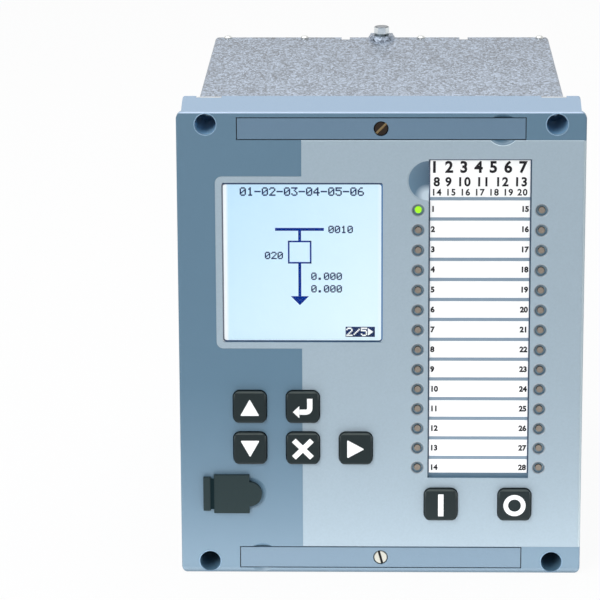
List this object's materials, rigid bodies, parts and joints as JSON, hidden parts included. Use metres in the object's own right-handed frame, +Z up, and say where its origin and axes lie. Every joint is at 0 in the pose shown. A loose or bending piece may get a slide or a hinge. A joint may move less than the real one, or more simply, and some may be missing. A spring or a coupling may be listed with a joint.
{
  "type": "monitoring relay",
  "caption": "Panel-mounted protection and monitoring relay: moulded front with display, key pad, indicator columns and label card on a folded steel case with rear terminals.",
  "frame": {"origin": "middle of the four panel fixing holes, on the plane where the bezel meets the panel", "axes": "+X to the right across the face, +Y from the face into the panel, +Z up"},
  "size_m": [0.15, 0.2158, 0.177],
  "materials": {
    "bezel_plastic": "fine moulded texture, satin",
    "light_film": "printed film, satin",
    "clear_plastic": "clear and smooth",
    "display_glass": "pale lit display",
    "dark_plastic": "moulded",
    "white_card": "smooth printed card",
    "dark_steel": "dull plated",
    "bright_steel": "bright zinc plated",
    "key_plastic": "satin moulded",
    "board_laminate": "green laminate",
    "green_lens": "lit green lens",
    "smoky_lens": "smoky clear plastic",
    "pale_plastic": "moulded",
    "cover_rubber": "soft matt rubber",
    "galvanised_steel": "spangled galvanised sheet",
    "grey_vinyl": "flat cable",
    "iron_core": "wound and potted core",
    "orange_plastic": "moulded",
    "capacitor_can": "sleeved can",
    "plain_aluminium": "extruded",
    "terminal_plastic": "moulded",
    "brass_plate": "plain brass",
    "green_plastic": "moulded"
  },
  "bodies": {
    "relay_body": {"front_bezel": "bezel_plastic", "face_film": "light_film", "clear_pane": "clear_plastic", "display_panel": "display_glass", "display_frame": "dark_plastic", "label_card": "white_card", "top_strip": "bezel_plastic", "bottom_strip": "bezel_plastic", "top_strip_screw": "dark_steel", "bottom_strip_screw": "bright_steel", "key_switches": "dark_plastic", "front_board": "board_laminate", "board_screws": "bright_steel", "healthy_lens": "green_lens", "left_lenses": "smoky_lens", "right_lenses": "smoky_lens", "indicator_chips": "pale_plastic", "cover_strap": "cover_rubber", "port_socket": "bright_steel", "mounting_plate": "bright_steel", "frame_screws": "bright_steel", "case_wrap": "galvanised_steel", "top_cover": "galvanised_steel", "rear_panel": "galvanised_steel", "cover_screws": "bright_steel", "rear_screws": "bright_steel", "earth_bolt": "bright_steel", "earth_washer": "bright_steel", "earth_nut": "bright_steel", "card_guides": "pale_plastic", "bus_board": "board_laminate", "bus_connectors": "pale_plastic", "ribbon_cable": "grey_vinyl", "analog_board": "board_laminate", "output_board": "board_laminate", "input_board": "board_laminate", "processor_board": "board_laminate", "current_transformers": "iron_core", "voltage_transformers": "iron_core", "output_relays": "orange_plastic", "input_couplers": "dark_plastic", "power_transformer": "iron_core", "power_capacitors": "capacitor_can", "heat_sink": "plain_aluminium", "processor_chips": "dark_plastic", "backup_battery": "bright_steel", "current_terminals": "terminal_plastic", "terminal_plates": "brass_plate", "terminal_screws": "bright_steel", "plug_terminals": "green_plastic", "plug_screws": "bright_steel", "network_sockets": "bright_steel"},
    "up_key": {"up_key": "key_plastic"},
    "down_key": {"down_key": "key_plastic"},
    "enter_key": {"enter_key": "key_plastic"},
    "cancel_key": {"cancel_key": "key_plastic"},
    "right_key": {"right_key": "key_plastic"},
    "on_key": {"on_key": "key_plastic"},
    "off_key": {"off_key": "key_plastic"},
    "cover_flap": {"cover_flap": "cover_rubber"}
  },
  "joints": [
    {"name": "up_key_press", "type": "slide", "parent": "relay_body", "child": "up_key", "axis": [0, 1, 0], "range_m": [0, 0.001], "stiffness_N_per_m": 1500, "springref_m": -0.0003},
    {"name": "down_key_press", "type": "slide", "parent": "relay_body", "child": "down_key", "axis": [0, 1, 0], "range_m": [0, 0.001], "stiffness_N_per_m": 1500, "springref_m": -0.0003},
    {"name": "enter_key_press", "type": "slide", "parent": "relay_body", "child": "enter_key", "axis": [0, 1, 0], "range_m": [0, 0.001], "stiffness_N_per_m": 1500, "springref_m": -0.0003},
    {"name": "cancel_key_press", "type": "slide", "parent": "relay_body", "child": "cancel_key", "axis": [0, 1, 0], "range_m": [0, 0.001], "stiffness_N_per_m": 1500, "springref_m": -0.0003},
    {"name": "right_key_press", "type": "slide", "parent": "relay_body", "child": "right_key", "axis": [0, 1, 0], "range_m": [0, 0.001], "stiffness_N_per_m": 1500, "springref_m": -0.0003},
    {"name": "on_key_press", "type": "slide", "parent": "relay_body", "child": "on_key", "axis": [0, 1, 0], "range_m": [0, 0.001], "stiffness_N_per_m": 1500, "springref_m": -0.0003},
    {"name": "off_key_press", "type": "slide", "parent": "relay_body", "child": "off_key", "axis": [0, 1, 0], "range_m": [0, 0.001], "stiffness_N_per_m": 1500, "springref_m": -0.0003},
    {"name": "cover_flap_hinge", "type": "hinge", "parent": "relay_body", "child": "cover_flap", "pos_m": [-0.06315, -0.032, -0.0572], "axis": [0, 0, -1], "range_deg": [0, 110], "stiffness_Nm_per_rad": 0.004}
  ]
}
